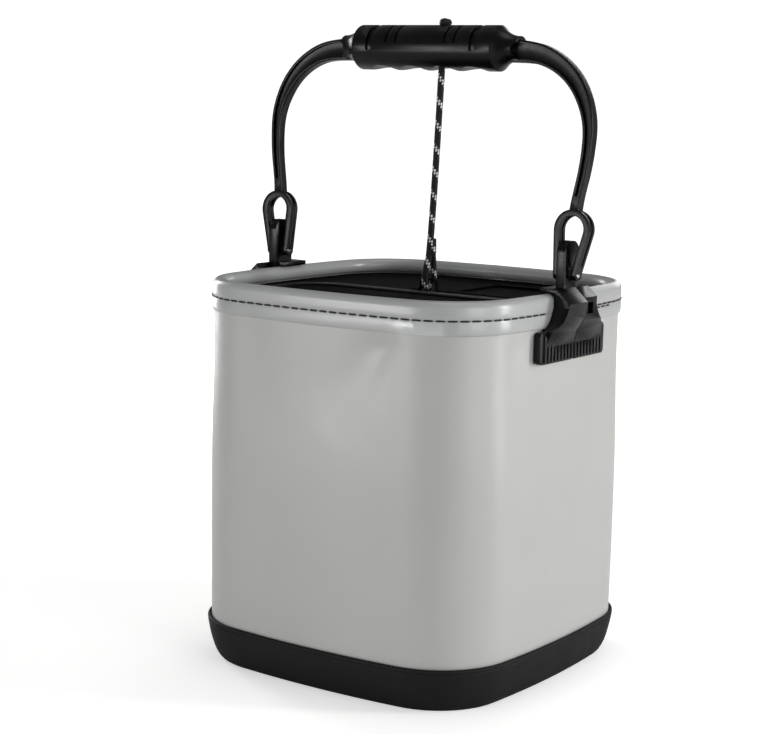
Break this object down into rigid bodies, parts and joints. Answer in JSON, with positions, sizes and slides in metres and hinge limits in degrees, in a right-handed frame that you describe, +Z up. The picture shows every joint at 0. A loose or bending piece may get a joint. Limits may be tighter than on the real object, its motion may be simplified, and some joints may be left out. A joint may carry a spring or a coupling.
{
  "type": "collapsible bucket",
  "caption": "Square soft-wall bucket that folds down flat, with a moulded tray base, a stiff rolled rim, a zipped mesh-vented cover and a swinging bail handle on two side clips.",
  "frame": {"origin": "middle of the base's underside, on the surface the bucket stands on", "axes": "+Z up, +X along the handle bar towards the right-hand clip, +Y from the hinged front of the cover towards the mesh window"},
  "size_m": [0.2306, 0.2104, 0.3779],
  "materials": {
    "tray_foam": "matte moulded EVA",
    "wall_sheet": "satin coated sheet",
    "collar_sheet": "satin coated sheet",
    "rim_rod": "extruded polyethylene",
    "thread": "polyester thread",
    "binding": "woven polyester tape",
    "cover_cloth": "woven polyester",
    "mesh_cloth": "knitted mesh",
    "zip_tape": "woven zip tape",
    "zip_teeth": "moulded zip teeth",
    "zip_metal": "black painted zinc",
    "clip_plastic": "moulded nylon, satin",
    "backing_plastic": "moulded polypropylene",
    "screw_steel": "zinc plated",
    "handle_plastic": "moulded polypropylene, satin",
    "pin_steel": "plain",
    "rope_braid": "braided polyester with white tracers"
  },
  "bodies": {
    "base": {"base_tray": "tray_foam", "sheet_wall": "wall_sheet", "wall_seam": "wall_sheet"},
    "rim": {"rim_collar": "collar_sheet", "rim_rod": "rim_rod", "collar_stitching": "thread", "cover_binding": "binding", "cover_panel": "cover_cloth", "mesh_window": "mesh_cloth", "fixed_zip_tape": "zip_tape", "fixed_zip_teeth": "zip_teeth", "right_clip_lever_half": "clip_plastic", "right_clip_latch_half": "clip_plastic", "left_clip_lever_half": "clip_plastic", "left_clip_latch_half": "clip_plastic", "right_backing_plate": "backing_plastic", "right_clip_screws": "screw_steel", "left_backing_plate": "backing_plastic", "left_clip_screws": "screw_steel", "rope": "rope_braid", "rope_splice": "rope_braid", "rope_tab": "binding"},
    "flap": {"flap_panel": "cover_cloth", "flap_zip_tape": "zip_tape", "flap_zip_teeth": "zip_teeth"},
    "slider": {"zip_slider": "zip_metal"},
    "puller": {"zip_puller": "zip_metal"},
    "handle": {"handle": "handle_plastic", "right_pivot_pin": "pin_steel", "left_pivot_pin": "pin_steel", "rope_top_knot": "rope_braid"}
  },
  "joints": [
    {"name": "rim_collapse", "type": "slide", "parent": "base", "child": "rim", "axis": [0, 0, 1], "range_m": [-0.15, 0], "deforming": ["sheet_wall", "wall_seam"]},
    {"name": "handle_swing", "type": "hinge", "parent": "rim", "child": "handle", "pos_m": [0, -0.004, 0.238], "axis": [-1, 0, 0], "range_deg": [-98.4, 88.6], "deforming": ["rope", "rope_splice"]},
    {"name": "flap_hinge", "type": "hinge", "parent": "rim", "child": "flap", "pos_m": [0, -0.068, 0.2187], "axis": [1, 0, 0], "range_deg": [0, 110]},
    {"name": "slider_travel", "type": "slide", "parent": "rim", "child": "slider", "axis": [0, 1, 0], "range_m": [0, 0.025]},
    {"name": "puller_hinge", "type": "hinge", "parent": "slider", "child": "puller", "pos_m": [0.0835, -0.049, 0.22255], "axis": [-1, 0, 0], "range_deg": [0, 175]}
  ]
}
